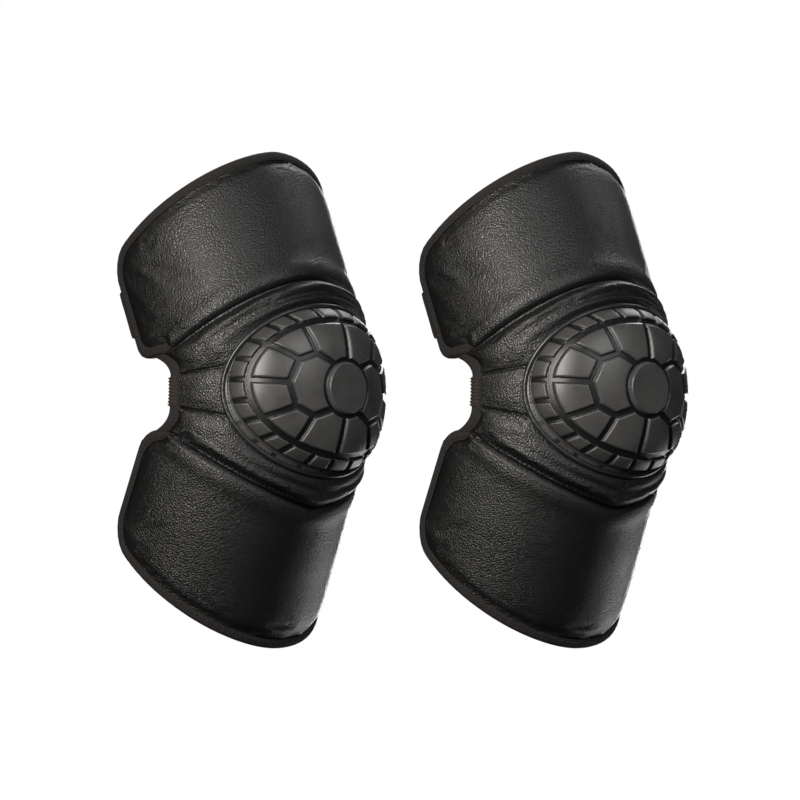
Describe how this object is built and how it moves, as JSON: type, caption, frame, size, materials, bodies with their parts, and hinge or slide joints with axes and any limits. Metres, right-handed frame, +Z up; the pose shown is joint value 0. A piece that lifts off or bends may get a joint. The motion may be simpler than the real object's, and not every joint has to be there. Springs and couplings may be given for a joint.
{
  "type": "knee guard",
  "caption": "Pair of padded leather knee guards with domed plated caps, puffed gores, side notches and elastic straps with hook tabs.",
  "frame": {"origin": "knee centre inside the wearer's right guard, where the leg passes through", "axes": "+X along the pair towards the wearer's left, -Y the way the caps face, +Z up the thigh"},
  "size_m": [0.5102, 0.1704, 0.396],
  "materials": {
    "leather": "pebbled, soft sheen",
    "sponge_foam": "matte sponge",
    "lining": "brushed fleece",
    "binding_tape": "woven tape",
    "cap_shell": "satin",
    "piping": "smooth",
    "elastic": "ribbed knit",
    "hook_tape": "stiff woven",
    "loop_tape": "brushed loops"
  },
  "bodies": {
    "knees": {"right_knee_cap": "cap_shell", "right_cap_pad": "sponge_foam", "right_cap_piping": "piping", "right_upper_gore": "leather", "right_lower_gore": "leather", "right_hook_side_gore": "leather", "right_sewn_side_gore": "leather", "right_knee_foam": "sponge_foam", "right_knee_lining": "lining", "right_hook_side_notch_binding": "binding_tape", "right_sewn_side_notch_binding": "binding_tape", "right_hook_side_gather": "elastic", "right_sewn_side_gather": "elastic", "left_knee_cap": "cap_shell", "left_cap_pad": "sponge_foam", "left_cap_piping": "piping", "left_upper_gore": "leather", "left_lower_gore": "leather", "left_hook_side_gore": "leather", "left_sewn_side_gore": "leather", "left_knee_foam": "sponge_foam", "left_knee_lining": "lining", "left_hook_side_notch_binding": "binding_tape", "left_sewn_side_notch_binding": "binding_tape", "left_hook_side_gather": "elastic", "left_sewn_side_gather": "elastic"},
    "right_thigh": {"right_thigh_leather": "leather", "right_thigh_foam": "sponge_foam", "right_thigh_lining": "lining", "right_thigh_binding": "binding_tape", "right_upper_loop_patch": "loop_tape", "right_upper_strap_anchor": "elastic"},
    "right_upper_strap": {"right_upper_strap": "elastic"},
    "right_upper_tab": {"right_upper_hook_tab": "hook_tape"},
    "right_shin": {"right_shin_leather": "leather", "right_shin_foam": "sponge_foam", "right_shin_lining": "lining", "right_shin_binding": "binding_tape", "right_lower_loop_patch": "loop_tape", "right_lower_strap_anchor": "elastic"},
    "right_lower_strap": {"right_lower_strap": "elastic"},
    "right_lower_tab": {"right_lower_hook_tab": "hook_tape"},
    "left_thigh": {"left_thigh_leather": "leather", "left_thigh_foam": "sponge_foam", "left_thigh_lining": "lining", "left_thigh_binding": "binding_tape", "left_upper_loop_patch": "loop_tape", "left_upper_strap_anchor": "elastic"},
    "left_upper_strap": {"left_upper_strap": "elastic"},
    "left_upper_tab": {"left_upper_hook_tab": "hook_tape"},
    "left_shin": {"left_shin_leather": "leather", "left_shin_foam": "sponge_foam", "left_shin_lining": "lining", "left_shin_binding": "binding_tape", "left_lower_loop_patch": "loop_tape", "left_lower_strap_anchor": "elastic"},
    "left_lower_strap": {"left_lower_strap": "elastic"},
    "left_lower_tab": {"left_lower_hook_tab": "hook_tape"}
  },
  "joints": [
    {"name": "right_thigh_flex", "type": "hinge", "parent": "knees", "child": "right_thigh", "pos_m": [0, -0.014, 0.031], "axis": [-1, 0, 0], "range_deg": [-5, 8], "deforming": ["right_upper_gore", "right_hook_side_gore", "right_sewn_side_gore", "right_knee_lining", "right_hook_side_notch_binding", "right_sewn_side_notch_binding"]},
    {"name": "right_shin_flex", "type": "hinge", "parent": "knees", "child": "right_shin", "pos_m": [0, -0.014, -0.033], "axis": [1, 0, 0], "range_deg": [-5, 8], "deforming": ["right_lower_gore"]},
    {"name": "right_upper_strap_swing", "type": "hinge", "parent": "right_thigh", "child": "right_upper_strap", "pos_m": [-0.08907, 0.04703, 0.05685], "axis": [0, 0.3759, 0.9267], "range_deg": [0, 15]},
    {"name": "right_upper_tab_peel", "type": "hinge", "parent": "right_upper_strap", "child": "right_upper_tab", "pos_m": [0.09439, 0.03308, 0.06251], "axis": [0, 0.3759, 0.9267], "range_deg": [0, 70]},
    {"name": "right_lower_strap_swing", "type": "hinge", "parent": "right_shin", "child": "right_lower_strap", "pos_m": [-0.0903, 0.04578, -0.05377], "axis": [0, -0.3709, 0.9287], "range_deg": [0, 15]},
    {"name": "right_lower_tab_peel", "type": "hinge", "parent": "right_lower_strap", "child": "right_lower_tab", "pos_m": [0.09524, 0.02517, -0.062], "axis": [0, -0.3709, 0.9287], "range_deg": [0, 70]},
    {"name": "left_thigh_flex", "type": "hinge", "parent": "knees", "child": "left_thigh", "pos_m": [0.319, -0.014, 0.0465], "axis": [-1, 0, 0], "range_deg": [-5, 8], "deforming": ["left_upper_gore", "left_hook_side_gore", "left_sewn_side_gore", "left_knee_lining", "left_hook_side_notch_binding", "left_sewn_side_notch_binding"]},
    {"name": "left_shin_flex", "type": "hinge", "parent": "knees", "child": "left_shin", "pos_m": [0.319, -0.014, -0.0175], "axis": [1, 0, 0], "range_deg": [-5, 8], "deforming": ["left_lower_gore"]},
    {"name": "left_upper_strap_swing", "type": "hinge", "parent": "left_thigh", "child": "left_upper_strap", "pos_m": [0.22993, 0.04703, 0.07235], "axis": [0, 0.3759, 0.9267], "range_deg": [0, 15]},
    {"name": "left_upper_tab_peel", "type": "hinge", "parent": "left_upper_strap", "child": "left_upper_tab", "pos_m": [0.41339, 0.03308, 0.07801], "axis": [0, 0.3759, 0.9267], "range_deg": [0, 70]},
    {"name": "left_lower_strap_swing", "type": "hinge", "parent": "left_shin", "child": "left_lower_strap", "pos_m": [0.2287, 0.04578, -0.03827], "axis": [0, -0.3709, 0.9287], "range_deg": [0, 15]},
    {"name": "left_lower_tab_peel", "type": "hinge", "parent": "left_lower_strap", "child": "left_lower_tab", "pos_m": [0.41424, 0.02517, -0.0465], "axis": [0, -0.3709, 0.9287], "range_deg": [0, 70]}
  ],
  "couplings": [
    {"joint": "right_shin_flex", "follows": "right_thigh_flex", "ratio": 1},
    {"joint": "left_shin_flex", "follows": "left_thigh_flex", "ratio": 1}
  ]
}
